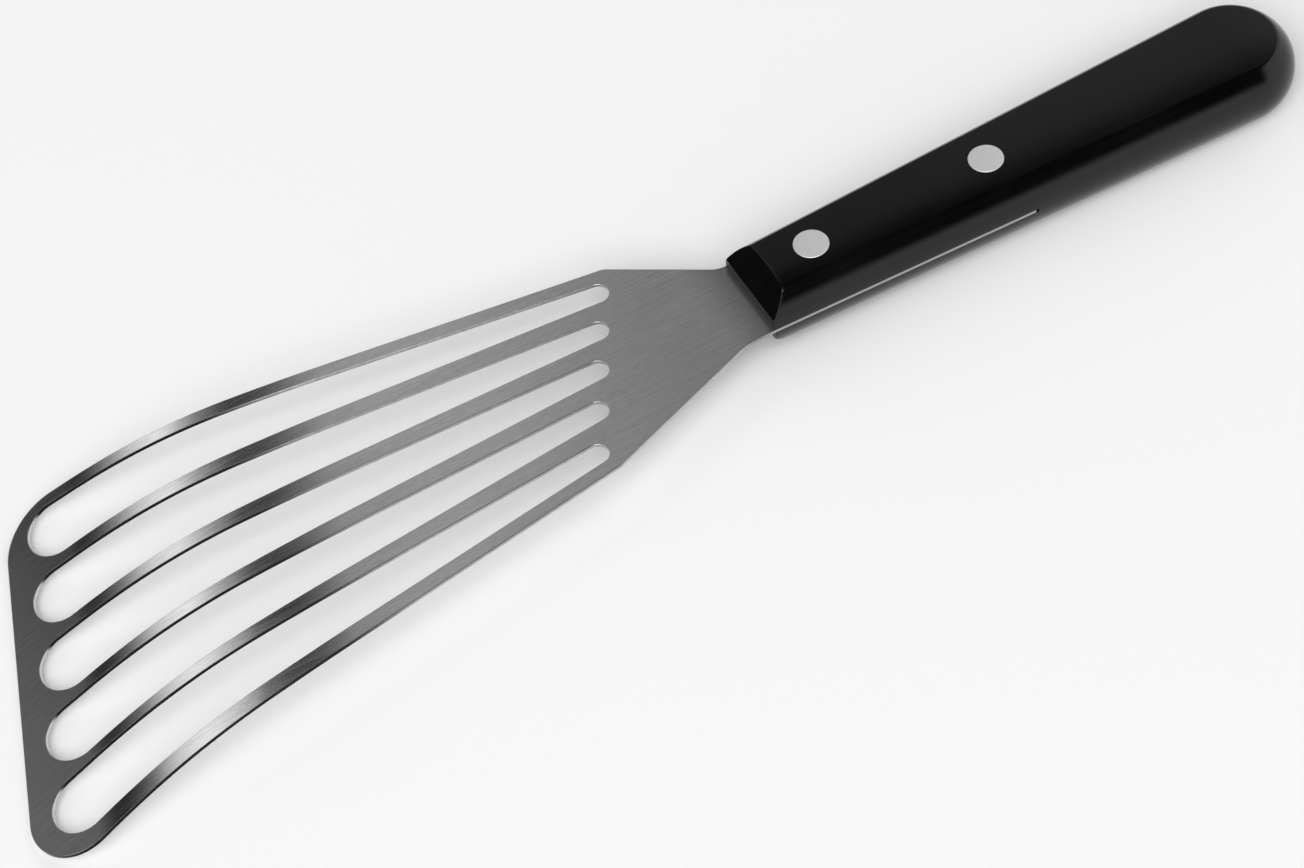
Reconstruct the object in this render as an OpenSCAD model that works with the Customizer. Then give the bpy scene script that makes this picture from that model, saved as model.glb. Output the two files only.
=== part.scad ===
// Slotted fish spatula: a thin sprung blade with six tines, a half tang
// and a one-piece handle held by two flush compression rivets.
// Millimetres, +Z up. The spatula lies at rest on its tip edge and on the
// butt of the handle, origin under the middle of the whole tool.
// The handle points to +X and the tip to -X.
// Plan points are [x, y], measured from the front of the handle.

/* [Show] */
// which piece to draw
// facets of a full circle in the preview
smoothness = 180; // [48:12:360]

/* [Blade sheet] */
// thickness of the spring steel sheet
sheet_t = 0.8; // [0.6:0.1:1.2]
// length along the middle, from the handle to the tip, before bending
blade_len = 157.2; // [154:0.2:170]
// slant of the tip edge, the slot ends and the bend, from square across
tip_slant = 20; // [0:1:25]
// rounding of the corner on the short side of the tip
short_corner_r = 13.1; // [10:0.1:14]
// rounding of the corner on the long side of the tip
long_corner_r = 9.9; // [7:0.1:11]

/* [Blade bend] */
// distance from the handle to where the bend starts, on the middle line
bend_start_x = 87.3; // [80:0.1:100]
// distance from the handle to where the bend ends, on the middle line
bend_stop_x = 142.6; // [132:0.2:143]
// part of the bend's length taken by its gentle beginning
first_share = 0.345; // [0.2:0.005:0.45]
// part of the bend's length taken by its last stretch
last_share = 0.23; // [0.1:0.005:0.3]
// how far the gentle beginning turns down
first_turn = 2.8; // [1:0.1:5]
// how far the middle stretch turns down
middle_turn = 13.2; // [6:0.1:16]
// how far the last stretch turns down
last_turn = 6; // [2:0.1:8]

/* [Blade shoulders] */
// distance from the handle to the shoulder on the short side
short_shoulder_x = 20; // [17:0.1:23]
// half width at the shoulder on the short side
short_shoulder_y = 21.6; // [21:0.1:23.5]
// splay of the outer edge on the short side
short_splay = 8.7; // [8:0.1:9.5]
// distance from the handle to the shoulder on the long side
long_shoulder_x = 39.6; // [35:0.5:45]
// half width at the shoulder on the long side
long_shoulder_y = 21.5; // [21:0.1:23.5]
// splay of the outer edge on the long side
long_splay = 8.2; // [7.7:0.1:9.2]
// rounding of both shoulders
shoulder_r = 3.5; // [2:0.5:8]
// straight neck in front of the handle on the short side
short_neck = 1.6; // [1.2:0.1:3]
// straight neck in front of the handle on the long side
long_neck = 5.5; // [3:0.1:8]
// hollow rounding where the neck flares out on the short side
short_neck_r = 5; // [3:0.5:6]
// hollow rounding where the neck flares out on the long side
long_neck_r = 13; // [8:0.5:15]

/* [Slots] */
// number of slots
slot_count = 5; // [3:1:5]
// end radius of a slot near the handle
slot_root_r = 2.2; // [1.4:0.1:2.6]
// end radius of a slot near the tip
slot_tip_r = 6.2; // [4:0.1:6.6]
// distance from the handle to the row of root ends, on the middle line
slot_root_x = 33; // [31:0.1:38]
// slant of the row of root ends
root_slant = 28.5; // [20:0.5:32]
// distance from the handle to the row of tip ends, on the middle line
slot_tip_x = 145.4; // [145:0.1:147]
// spacing of the slots at the root gauge line
root_pitch = 9.4; // [9:0.1:9.7]
// spacing of the slots at the tip gauge line
tip_pitch = 14.4; // [14:0.1:14.8]
// sideways shift of the middle slot at the root gauge line
root_shift = 0.6; // [-0.5:0.1:1]
// sideways shift of the middle slot at the tip gauge line
tip_shift = 1.2; // [-0.5:0.1:1.5]
// slant of both gauge lines
gauge_slant = 16; // [12:1:20]

/* [Handle] */
// length of the handle
handle_len = 120; // [110:1:135]
// width at the front
handle_front_w = 18.9; // [17:0.1:20]
// width the side lines reach at the butt
handle_butt_w = 26.1; // [22:0.1:30]
// thickness between the flat cheeks
handle_t = 14.6; // [13:0.1:16]
// how far the rounded sides bulge past the flat cheeks
side_bulge = 4.9; // [4.2:0.1:5.5]
// length of the sloped front, along the handle
chamfer_len = 4.1; // [2:0.1:6]
// height of the upright front land, from the middle of the sheet
front_land = 2.6; // [1.5:0.1:4]
// length of the tang inside the handle
tang_len = 56.5; // [56:0.5:66]
// gap between the tang and each side of its slit
slit_gap = 0.05; // [0.03:0.01:0.15]
// gap at the blind end of the slit
slit_end_gap = 0.4; // [0.1:0.1:1]
// sloped lead-in around the mouth of the slit
slit_lead = 0.35; // [0.1:0.05:0.6]

/* [Rivets] */
// distance from the handle front to the front rivet
front_rivet_x = 13.7; // [12:0.1:16]
// distance from the handle front to the rear rivet
rear_rivet_x = 52.2; // [46:0.1:52.4]
// diameter of a rivet head
head_d = 7; // [6:0.1:7.2]
// thickness of a rivet head
head_t = 1.6; // [1.2:0.1:2.2]
// small bevel around the outer face of a head
head_bevel = 0.2; // [0.05:0.05:0.4]
// outside diameter of the hollow shank
tube_d = 4.6; // [4:0.1:5]
// diameter of the solid shank
pin_d = 3; // [2.4:0.1:3.2]
// slack between the end of one shank and the head facing it
shank_slack = 0.4; // [0.2:0.1:1]
// clearance of a rivet in the handle and of one shank in the other, on the radius
rivet_gap = 0.02; // [0.01:0.01:0.05]
// clearance of the hollow shank in the tang, on the radius
tang_hole_gap = 0.15; // [0.05:0.05:0.4]

/* [Colours] */
// brushed steel
steel = [0.62, 0.63, 0.64];
// black handle
black = [0.06, 0.06, 0.065];
// satin rivets
satin = [0.78, 0.78, 0.77];

/* [Hidden] */
$fn = smoothness;

// far beyond the tool in any direction
reach = 400;
// how far a rounding crosses the line it blends into, so that both meet cleanly
blend = 0.003;

// plan helpers
function unit(v) = v / norm(v);
function quarter(v) = [-v.y, v.x];
function cross2(a, b) = a.x * b.y - a.y * b.x;
function meet(p, d, q, e) = p + d * cross2(q - p, e) / cross2(d, e);
// where a rounding of radius r leaves the side p-q of the corner q
function leave(p, q, s, r) = q + unit(p - q) * r / tan(corner_angle(p, q, s) / 2);
function corner_angle(p, q, s) = acos(unit(p - q) * unit(s - q));
function round_centre(p, q, s, r) =
    q + unit(unit(p - q) + unit(s - q)) * r / sin(corner_angle(p, q, s) / 2);

// handle sides
side_angle = atan((handle_butt_w - handle_front_w) / 2 / handle_len);
half_t = handle_t / 2;
side_r = (half_t * half_t + side_bulge * side_bulge) / (2 * side_bulge);
butt_r = handle_butt_w / 2 * cos(side_angle) / (1 + sin(side_angle));
butt_x = handle_len - butt_r;
core_r = butt_r - side_r;
flat_butt_r = butt_r - side_bulge;
function half_width(x) = handle_front_w / 2 + x * tan(side_angle);

// bend, made of three arcs that follow each other between four stations;
// the stations are measured along the sheet, square to the bend axis
turns = [first_turn, middle_turn, last_turn];
bend_angle = first_turn + middle_turn + last_turn;
bend_len = bend_stop_x - bend_start_x;
stations = [
    bend_start_x * cos(tip_slant),
    (bend_start_x + first_share * bend_len) * cos(tip_slant),
    (bend_stop_x - last_share * bend_len) * cos(tip_slant),
    bend_stop_x * cos(tip_slant)
];
bend_start = stations[0];
bend_end = stations[3];
function bend_r(k) = (stations[k + 1] - stations[k]) / (turns[k] * PI / 180);
function chord(k) = 2 * bend_r(k) * sin(turns[k] / 2);
// slope of the sheet at station k, and where the station lies once bent
function slope(k) = k == 0 ? 0 : slope(k - 1) + turns[k - 1];
function station_u(k) = k == 0 ? bend_start
    : station_u(k - 1) + chord(k - 1) * cos((slope(k - 1) + slope(k)) / 2);
function station_z(k) = k == 0 ? 0
    : station_z(k - 1) - chord(k - 1) * sin((slope(k - 1) + slope(k)) / 2);
bend_end_u = station_u(3);
bend_end_z = station_z(3);
tip_u = blade_len * cos(tip_slant);
across_tip = [sin(tip_slant), cos(tip_slant)];
// distance square to the bend axis, and position along it towards the long side
function bend_u(p) = -p.x * cos(tip_slant) + p.y * sin(tip_slant);
function bend_p(p) = -p.x * sin(tip_slant) - p.y * cos(tip_slant);
// position along the axis where the line from a to b crosses distance u
function cross_at(a, b, u) =
    bend_p(a) + (bend_p(b) - bend_p(a)) * (u - bend_u(a)) / (bend_u(b) - bend_u(a));

// corners of the blank, long side first
tang_long = [tang_len, -half_width(tang_len)];
neck_long = [-long_neck, -half_width(-long_neck)];
shoulder_long = [-long_shoulder_x, -long_shoulder_y];
edge_long = [-cos(long_splay), -sin(long_splay)];
tip_long = meet(shoulder_long, edge_long, [-blade_len, 0], across_tip);
shoulder_short = [-short_shoulder_x, short_shoulder_y];
edge_short = [-cos(short_splay), sin(short_splay)];
tip_short = meet(shoulder_short, edge_short, [-blade_len, 0], across_tip);
neck_short = [-short_neck, half_width(-short_neck)];
tang_short = [tang_len, half_width(tang_len)];

// slots, from the short side to the long side
root_gauge = 50;
tip_gauge = 140;
middle = (slot_count - 1) / 2;
function gauge_point(x, y) = [-x + y * tan(gauge_slant), y];
function slot_p(k) = gauge_point(root_gauge, root_shift + (middle - k) * root_pitch);
function slot_q(k) = gauge_point(tip_gauge, tip_shift + (middle - k) * tip_pitch);
function slot_root(k) = meet(slot_p(k), slot_q(k) - slot_p(k),
    [-slot_root_x, 0], [sin(root_slant), cos(root_slant)]);
function slot_tip(k) = meet(slot_p(k), slot_q(k) - slot_p(k), [-slot_tip_x, 0], across_tip);
function slot_dir(k) = unit(slot_tip(k) - slot_root(k));
function slot_taper(k) = asin((slot_tip_r - slot_root_r) / norm(slot_tip(k) - slot_root(k)));
// outward direction of one side of slot k, side is 1 or -1
function slot_normal(k, side) =
    -sin(slot_taper(k)) * slot_dir(k) + side * cos(slot_taper(k)) * quarter(slot_dir(k));
function root_touch(k, side) = slot_root(k) + (slot_root_r - blend) * slot_normal(k, side);
function tip_touch(k, side) = slot_tip(k) + (slot_tip_r - blend) * slot_normal(k, side);

// rest position: turn about the bend direction until tip and butt both touch
low_u = bend_end_u + (tip_u - bend_end) * cos(bend_angle) - sheet_t / 2 * sin(bend_angle);
low_z = bend_end_z - (tip_u - bend_end) * sin(bend_angle) - sheet_t / 2 * cos(bend_angle);
butt_u = -butt_x * cos(tip_slant) - flat_butt_r;
rest_turn = atan((-half_t - low_z) / (low_u - butt_u));
rest_drop = low_z * cos(rest_turn) + low_u * sin(rest_turn);

// outer limits of the tool at rest, for the origin
tip_pitch_down = bend_angle - rest_turn;
function rested_u(u, z) = u * cos(rest_turn) - z * sin(rest_turn);
function tip_plane_u(p) = bend_end_u + (bend_u(p) - bend_end) * cos(bend_angle);
function tip_plane_z(p) = bend_end_z - (bend_u(p) - bend_end) * sin(bend_angle);
function rested_point(p) = let (u = rested_u(tip_plane_u(p), tip_plane_z(p)), v = -bend_p(p))
    [-u * cos(tip_slant) + v * sin(tip_slant), u * sin(tip_slant) + v * cos(tip_slant)];
lean = sheet_t / 2 * sin(tip_pitch_down);
long_centre = rested_point(round_centre(shoulder_long, tip_long, tip_short, long_corner_r));
short_centre = rested_point(round_centre(shoulder_short, tip_short, tip_long, short_corner_r));
reach_x = sqrt(pow(cos(tip_pitch_down) * cos(tip_slant), 2) + pow(sin(tip_slant), 2));
reach_y = sqrt(pow(cos(tip_pitch_down) * sin(tip_slant), 2) + pow(cos(tip_slant), 2));
low_x = long_centre.x - long_corner_r * reach_x - lean * cos(tip_slant);
low_y = long_centre.y - long_corner_r * reach_y - lean * sin(tip_slant);
high_y = short_centre.y + short_corner_r * reach_y + lean * sin(tip_slant);
butt_tilt = sin(rest_turn) * cos(tip_slant);
high_x = butt_x * (1 - pow(cos(tip_slant), 2) * (1 - cos(rest_turn)))
    + core_r * sqrt(1 - butt_tilt * butt_tilt) + side_r;
frame_x = (low_x + high_x) / 2;
frame_y = (low_y + high_y) / 2;

// rivets
head_z = half_t - head_t;
tube_len = 2 * head_z - shank_slack;

// place a piece, drawn about the handle front, at rest on the ground
module at_rest() {
    translate([-frame_x, -frame_y, -rest_drop])
        rotate(a = rest_turn, v = [sin(tip_slant), cos(tip_slant), 0])
            children();
}

// turn to the bend's own directions, x outwards across the bend
module across_bend() {
    rotate([0, 0, 180 - tip_slant])
        children();
}

// what rounding takes off the corner q between the sides p-q and q-s
module corner_waste(p, q, s, r) {
    c = round_centre(p, q, s, r);
    a = leave(p, q, s, r);
    b = leave(s, q, p, r);
    difference() {
        polygon([c, c + 2 * (a - c), c + 3 * (q - c), c + 2 * (b - c)]);
        translate(c)
            circle(r + blend);
    }
}

// the web that hollow-rounds corner q, m and n lie inside the blank
module hollow_web(p, q, s, r, m, n) {
    a = leave(p, q, s, r);
    b = leave(s, q, p, r);
    difference() {
        polygon([a, b, m, n]);
        translate(round_centre(p, q, s, r))
            circle(r + blend);
    }
}

// outline of the sheet before it is bent, without slots
module blank() {
    difference() {
        polygon([
            tang_long,
            neck_long,
            shoulder_long,
            tip_long,
            tip_short,
            shoulder_short,
            neck_short,
            tang_short
        ]);
        corner_waste(neck_long, shoulder_long, tip_long, shoulder_r);
        corner_waste(shoulder_long, tip_long, tip_short, long_corner_r);
        corner_waste(tip_long, tip_short, shoulder_short, short_corner_r);
        corner_waste(tip_short, shoulder_short, neck_short, shoulder_r);
    }
    hollow_web(tang_long, neck_long, shoulder_long, long_neck_r, [-long_neck - 4, 0], [0, 0]);
    hollow_web(shoulder_short, neck_short, tang_short, short_neck_r, [0, 0], [-short_neck - 4, 0]);
}

// one tapered slot with round ends, as a flat shape
module slot_shape(k) {
    polygon([root_touch(k, 1), tip_touch(k, 1), tip_touch(k, -1), root_touch(k, -1)]);
    translate(slot_root(k))
        circle(slot_root_r);
    translate(slot_tip(k))
        circle(slot_tip_r);
}

// the flat sheet with slots and rivet holes cut through it
module pierced_blank() {
    difference() {
        blank();
        for (k = [0 : slot_count - 1])
            slot_shape(k);
        for (x = [front_rivet_x, rear_rivet_x])
            translate([x, 0])
                circle(d = tube_d + 2 * tang_hole_gap);
    }
}

// part of the sheet nearer the handle than the bend
module flat_part() {
    linear_extrude(height = sheet_t, center = true)
        intersection() {
            pierced_blank();
            across_bend()
                translate([bend_start, 0])
                    translate([-reach, -reach])
                        square([reach, 2 * reach]);
        }
}

// turn to the bent sheet's own directions at station k, x onwards and z out of the sheet
module at_station(k) {
    if (k == 0)
        translate([bend_start, 0, 0])
            children();
    else
        at_station(k - 1)
            translate([0, 0, -bend_r(k - 1)])
                rotate([0, turns[k - 1], 0])
                    translate([0, 0, bend_r(k - 1)])
                        children();
}

// part of the sheet beyond the bend
module tip_part() {
    across_bend()
        at_station(3)
            linear_extrude(height = sheet_t, center = true)
                intersection() {
                    translate([-bend_end, 0])
                        rotate([0, 0, tip_slant - 180])
                            pierced_blank();
                    translate([0, -reach])
                        square([reach, 2 * reach]);
                }
}

// arc k of the bend as a strip wider than the whole blade
module bent_strip(k) {
    r = bend_r(k);
    past = turns[k] + 1;
    difference() {
        at_station(k)
            translate([0, 0, -r])
                rotate([90, 0, 0])
                    linear_extrude(height = reach, center = true)
                        intersection() {
                            difference() {
                                circle(r + sheet_t / 2);
                                circle(r - sheet_t / 2);
                            }
                            polygon([[0, 0], [0, 1.2 * r], 1.2 * r * [sin(past), cos(past)]]);
                        }
        at_station(k + 1)
            translate([0, -reach, -reach])
                cube(2 * reach);
    }
}

// one tine along arc k, between two edge lines that are each given by two plan points
module bent_tine(k, a, b, c, d) {
    a1 = cross_at(a, b, stations[k]);
    a2 = cross_at(a, b, stations[k + 1]);
    c1 = cross_at(c, d, stations[k]);
    c2 = cross_at(c, d, stations[k + 1]);
    intersection() {
        bent_strip(k);
        at_station(k)
            rotate([0, turns[k] / 2, 0])
                linear_extrude(height = chord(k) / 2, center = true)
                    polygon([
                        [-1, a1 - (a2 - a1) / chord(k)],
                        [chord(k) + 1, a2 + (a2 - a1) / chord(k)],
                        [chord(k) + 1, c2 + (c2 - c1) / chord(k)],
                        [-1, c1 - (c2 - c1) / chord(k)]
                    ]);
    }
}

// all the tines along arc k
module bent_part(k) {
    last = slot_count - 1;
    across_bend() {
        bent_tine(k, shoulder_short, tip_short, root_touch(0, -1), tip_touch(0, -1));
        for (j = [0 : last - 1])
            bent_tine(k, root_touch(j, 1), tip_touch(j, 1), root_touch(j + 1, -1), tip_touch(j + 1, -1));
        bent_tine(k, root_touch(last, 1), tip_touch(last, 1), shoulder_long, tip_long);
    }
}

// bent steel sheet with its half tang
module blade() {
    color(steel)
        at_rest() {
            flat_part();
            for (k = [0 : 2])
                bent_part(k);
            tip_part();
        }
}

// round side of the handle section, running a little into the core
module side_section() {
    intersection() {
        circle(side_r);
        translate([-side_r / 4, -side_r])
            square([2 * side_r, 2 * side_r]);
    }
}

// handle before its cheeks and front are cut flat
module handle_blank() {
    over = 1;
    seam = [butt_x - core_r * sin(side_angle), core_r * cos(side_angle)];
    front = [-over, half_width(-over) - side_r / cos(side_angle)];
    for (side = [1, -1])
        translate([butt_x, 0, 0])
            rotate([0, 0, side * (90 + side_angle)])
                translate([core_r, side * (butt_x / 2 + over), 0])
                    rotate([90, 0, 0])
                        linear_extrude(height = butt_x + 2 * over, center = true)
                            side_section();
    linear_extrude(height = 2 * side_r, center = true)
        polygon([
            [butt_x + core_r / 2, core_r / 2],
            seam,
            front,
            [front.x, -front.y],
            [seam.x, -seam.y],
            [butt_x + core_r / 2, -core_r / 2]
        ]);
    translate([butt_x, 0, 0])
        rotate([0, 0, -90 - side_angle])
            rotate_extrude(angle = 180 + 2 * side_angle) {
                translate([0, -side_r])
                    square([core_r, 2 * side_r]);
                translate([core_r, 0])
                    side_section();
            }
}

// the handle seen from the side: flat cheeks, sloped front, short land
module handle_profile() {
    polygon([
        [0, front_land],
        [chamfer_len, half_t],
        [handle_len + 5, half_t],
        [handle_len + 5, -half_t],
        [chamfer_len, -half_t],
        [0, -front_land]
    ]);
}

// slit for the tang, seen from the side, opening at the front
module slit_profile() {
    half = sheet_t / 2 + slit_gap;
    polygon([
        [-1, half + slit_lead + 1],
        [slit_lead, half],
        [tang_len + slit_end_gap, half],
        [tang_len + slit_end_gap, -half],
        [slit_lead, -half],
        [-1, -half - slit_lead - 1]
    ]);
}

// stepped hole for one rivet through both cheeks
module rivet_hole(x) {
    translate([x, 0, 0]) {
        cylinder(d = tube_d + 2 * rivet_gap, h = handle_t + 2, center = true);
        for (side = [0, 1])
            mirror([0, 0, side])
                translate([0, 0, head_z])
                    cylinder(d = head_d + 2 * rivet_gap, h = head_t + 1);
    }
}

// one-piece moulded handle
module handle() {
    color(black)
        at_rest()
            difference() {
                intersection() {
                    handle_blank();
                    rotate([90, 0, 0])
                        linear_extrude(height = reach, center = true)
                            handle_profile();
                }
                rotate([90, 0, 0])
                    linear_extrude(height = reach, center = true)
                        slit_profile();
                rivet_hole(front_rivet_x);
                rivet_hole(rear_rivet_x);
            }
}

// flat rivet head with a fine bevel, its outer face up
module rivet_head() {
    cylinder(d = head_d, h = head_t - head_bevel);
    translate([0, 0, head_t - head_bevel])
        cylinder(d1 = head_d, d2 = head_d - 2 * head_bevel, h = head_bevel);
}

// hollow half of a rivet, head on the upper cheek
module rivet_tube(x) {
    translate([x, 0, 0])
        difference() {
            union() {
                translate([0, 0, head_z])
                    rivet_head();
                translate([0, 0, head_z - tube_len])
                    cylinder(d = tube_d, h = tube_len);
            }
            translate([0, 0, head_z - tube_len - 1])
                cylinder(d = pin_d + 2 * rivet_gap, h = tube_len + 1);
        }
}

// solid half of a rivet, head on the lower cheek
module rivet_pin(x) {
    translate([x, 0, 0]) {
        mirror([0, 0, 1])
            translate([0, 0, head_z])
                rivet_head();
        translate([0, 0, -head_z])
            cylinder(d = pin_d, h = tube_len);
    }
}

// hollow half of the rivet nearer the blade
module front_rivet_tube() {
    color(satin)
        at_rest()
            rivet_tube(front_rivet_x);
}

// solid half of the rivet nearer the blade
module front_rivet_pin() {
    color(satin)
        at_rest()
            rivet_pin(front_rivet_x);
}

// hollow half of the rivet near the end of the tang
module rear_rivet_tube() {
    color(satin)
        at_rest()
            rivet_tube(rear_rivet_x);
}

// solid half of the rivet near the end of the tang
module rear_rivet_pin() {
    color(satin)
        at_rest()
            rivet_pin(rear_rivet_x);
}

blade();
handle();
front_rivet_tube();
front_rivet_pin();
rear_rivet_tube();
rear_rivet_pin();
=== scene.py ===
"""Looks of the slotted fish spatula: bent blade, handle, rivets, plain studio and camera.

Lengths in the dataclasses are millimetres and follow the part's own sizes, apart from the handle's
side_bulge, whose comment says why. The exported meshes are in metres. The tool's own axes have x
along the handle from its front, y to the short side and z up, with the middle of the sheet at
z = 0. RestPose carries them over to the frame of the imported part.
"""

import logging
import math
from dataclasses import dataclass, field
from enum import Enum
from typing import Any, Mapping, Sequence, Union

import bmesh
import bpy
import numpy as np
from mathutils import Matrix, Vector
from mathutils.geometry import delaunay_2d_cdt


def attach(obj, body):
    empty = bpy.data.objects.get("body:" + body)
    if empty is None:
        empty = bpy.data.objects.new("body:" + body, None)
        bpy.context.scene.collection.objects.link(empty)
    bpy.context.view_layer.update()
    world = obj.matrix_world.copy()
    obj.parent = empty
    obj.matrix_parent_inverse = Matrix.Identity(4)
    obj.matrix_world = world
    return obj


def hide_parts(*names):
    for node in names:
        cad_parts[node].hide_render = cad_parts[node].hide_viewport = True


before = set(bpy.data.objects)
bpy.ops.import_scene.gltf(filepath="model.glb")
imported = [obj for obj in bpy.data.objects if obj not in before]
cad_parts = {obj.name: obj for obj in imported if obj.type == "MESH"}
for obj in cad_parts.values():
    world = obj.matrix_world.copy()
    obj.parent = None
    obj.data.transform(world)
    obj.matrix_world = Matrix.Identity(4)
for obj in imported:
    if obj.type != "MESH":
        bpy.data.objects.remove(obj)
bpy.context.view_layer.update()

LOG = logging.getLogger("fish_spatula")
MM = 0.001
# place of each rivet's axis along the handle
RIVET_PLACES = {"front": 13.7, "rear": 52.2}
# shading breaks where two faces meet at more than this
SHARP_ANGLE = math.radians(35.0)
# millimetres within which points are one to the triangles, lie on a cut, and are welded
SAME_POINT, ON_CUT, WELD = 1e-6, 1e-5, 1e-4
Number = Union[int, float]
Colour = tuple[float, float, float, float]
Pair = tuple[float, float]
Triple = tuple[float, float, float]
Array = np.ndarray
Socket = bpy.types.NodeSocket
Piece = bpy.types.Object
Draft = bmesh.types.BMesh


class Signal:
    """One shader socket that takes part in Python expressions."""

    def __init__(self, graph: "Graph", socket: Socket) -> None:
        """Keeps the socket and the graph that new Math nodes go into."""
        self.graph = graph
        self.socket = socket

    def __add__(self, other: "Value") -> "Signal":
        """self + other."""
        return self.graph.maths("ADD", self, other)

    def __radd__(self, other: "Value") -> "Signal":
        """other + self."""
        return self.graph.maths("ADD", other, self)

    def __sub__(self, other: "Value") -> "Signal":
        """self - other."""
        return self.graph.maths("SUBTRACT", self, other)

    def __rsub__(self, other: "Value") -> "Signal":
        """other - self."""
        return self.graph.maths("SUBTRACT", other, self)

    def __mul__(self, other: "Value") -> "Signal":
        """self * other."""
        return self.graph.maths("MULTIPLY", self, other)

    def __rmul__(self, other: "Value") -> "Signal":
        """other * self."""
        return self.graph.maths("MULTIPLY", other, self)

    def size(self) -> "Signal":
        """self without its sign."""
        return self.graph.maths("ABSOLUTE", self)

    def smooth(self, low: Number, high: Number) -> "Signal":
        """A soft step of self from 0 at low to 1 at high."""
        node = self.graph.node("ShaderNodeMapRange", {"interpolation_type": "SMOOTHSTEP"},
                               {"Value": self, "From Min": low, "From Max": high})
        return Signal(self.graph, node.outputs["Result"])


Value = Union[Signal, Number]
SocketInput = Union[Signal, Socket, Number, Sequence[float]]


class Graph:
    """A material's or the world's node tree, cleared and ready for one finish."""

    def __init__(self, tree: bpy.types.NodeTree) -> None:
        """Clears the tree.

        Args:
            tree: The node tree of a material or of the world.
        """
        self.tree = tree
        tree.nodes.clear()

    def node(self, kind: str, settings: Mapping[str, Any] = {},
             sockets: Mapping[Union[str, int], SocketInput] = {}) -> bpy.types.Node:
        """Adds one node.

        Args:
            kind: Blender's name of the node type.
            settings: Attributes that are set first; "stops" are a ramp's (place, colour) pairs.
            sockets: Values or links of the input sockets, by name or number.

        Returns:
            The new node.
        """
        made = self.tree.nodes.new(kind)
        for name, value in settings.items():
            if name == "stops":
                self._set_stops(made, value)
            else:
                setattr(made, name, value)
        for name, value in sockets.items():
            target = made.inputs[name]
            if isinstance(value, Signal):
                value = value.socket
            if isinstance(value, Socket):
                self.tree.links.new(value, target)
            else:
                target.default_value = value
        return made

    @staticmethod
    def _set_stops(ramp: bpy.types.Node, stops: Sequence[Pair]) -> None:
        """Sets a ramp's stops from (place, grey level) pairs."""
        elements = ramp.color_ramp.elements
        while len(elements) < len(stops):
            elements.new(1.0)
        for element, (place, level) in zip(elements, stops):
            element.position = place
            element.color = (level, level, level, 1.0)

    def maths(self, operation: str, first: Value, second: Value = 0.0) -> Signal:
        """The result of one Math node."""
        made = self.node("ShaderNodeMath", {"operation": operation}, {0: first, 1: second})
        return Signal(self, made.outputs[0])

    def mix(self, factor: SocketInput, first: SocketInput, second: SocketInput) -> Signal:
        """A colour that goes from first to second."""
        made = self.node("ShaderNodeMix", {"data_type": "RGBA"},
                         {0: factor, 6: first, 7: second})
        return Signal(self, made.outputs[2])

    def stretched(self, size: Sequence[float]) -> Signal:
        """Object coordinates counted in cells of the given size.

        Args:
            size: Cell size along x, y and z in millimetres, 0 where the pattern doesn't change.

        Returns:
            The stretched coordinates.
        """
        place = self.node("ShaderNodeTexCoord").outputs["Object"]
        per_cell = [0.0 if s == 0 else 1.0 / (s * MM) for s in size]
        made = self.node("ShaderNodeVectorMath", {"operation": "MULTIPLY"},
                         {0: place, 1: per_cell})
        return Signal(self, made.outputs[0])

    def parts(self, vector: SocketInput) -> list[Signal]:
        """The x, y and z parts of a vector."""
        split = self.node("ShaderNodeSeparateXYZ", {}, {0: vector})
        return [Signal(self, split.outputs[axis]) for axis in "XYZ"]

    def noise(self, size: Sequence[float], detail: float = 2.0) -> Signal:
        """Noise with cells of the given size in millimetres, from 0 to 1."""
        made = self.node("ShaderNodeTexNoise", {"noise_dimensions": "3D"},
                         {"Vector": self.stretched(size), "Scale": 1.0, "Detail": detail,
                          "Roughness": 0.5})
        return Signal(self, made.outputs["Fac"])

    def bump(self, height: Signal, depth: float) -> Signal:
        """A surface direction from a height pattern.

        Args:
            height: The pattern, 0 to 1.
            depth: What a height of 1 stands for, in millimetres.

        Returns:
            The bent normal.
        """
        made = self.node("ShaderNodeBump", {}, {"Height": height, "Distance": depth * MM,
                                                "Strength": 1.0})
        return Signal(self, made.outputs["Normal"])

    def finish(self, surface: Socket, target: str = "ShaderNodeOutputMaterial") -> None:
        """Connects the last shader to the output."""
        self.node(target, {}, {"Surface": surface})


class Finish:
    """A finish that makes one named material."""

    name: str = "finish"

    def material(self) -> bpy.types.Material:
        """Makes the material, or gives the one already made under the finish's own name."""
        found = bpy.data.materials.get(self.name)
        if found is not None:
            return found
        made = bpy.data.materials.new(self.name)
        made.use_nodes = True
        graph = Graph(made.node_tree)
        graph.finish(self.shader(graph))
        return made

    def shader(self, graph: Graph) -> Socket:
        """Builds the nodes and gives the last shader's output."""
        raise NotImplementedError


def blended(patterns: Sequence[Signal], shares: Sequence[float]) -> Signal:
    """The sum of the patterns, each times its share."""
    total = patterns[0] * shares[0]
    for pattern, share in zip(patterns[1:], shares[1:]):
        total = total + pattern * share
    return total


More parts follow.
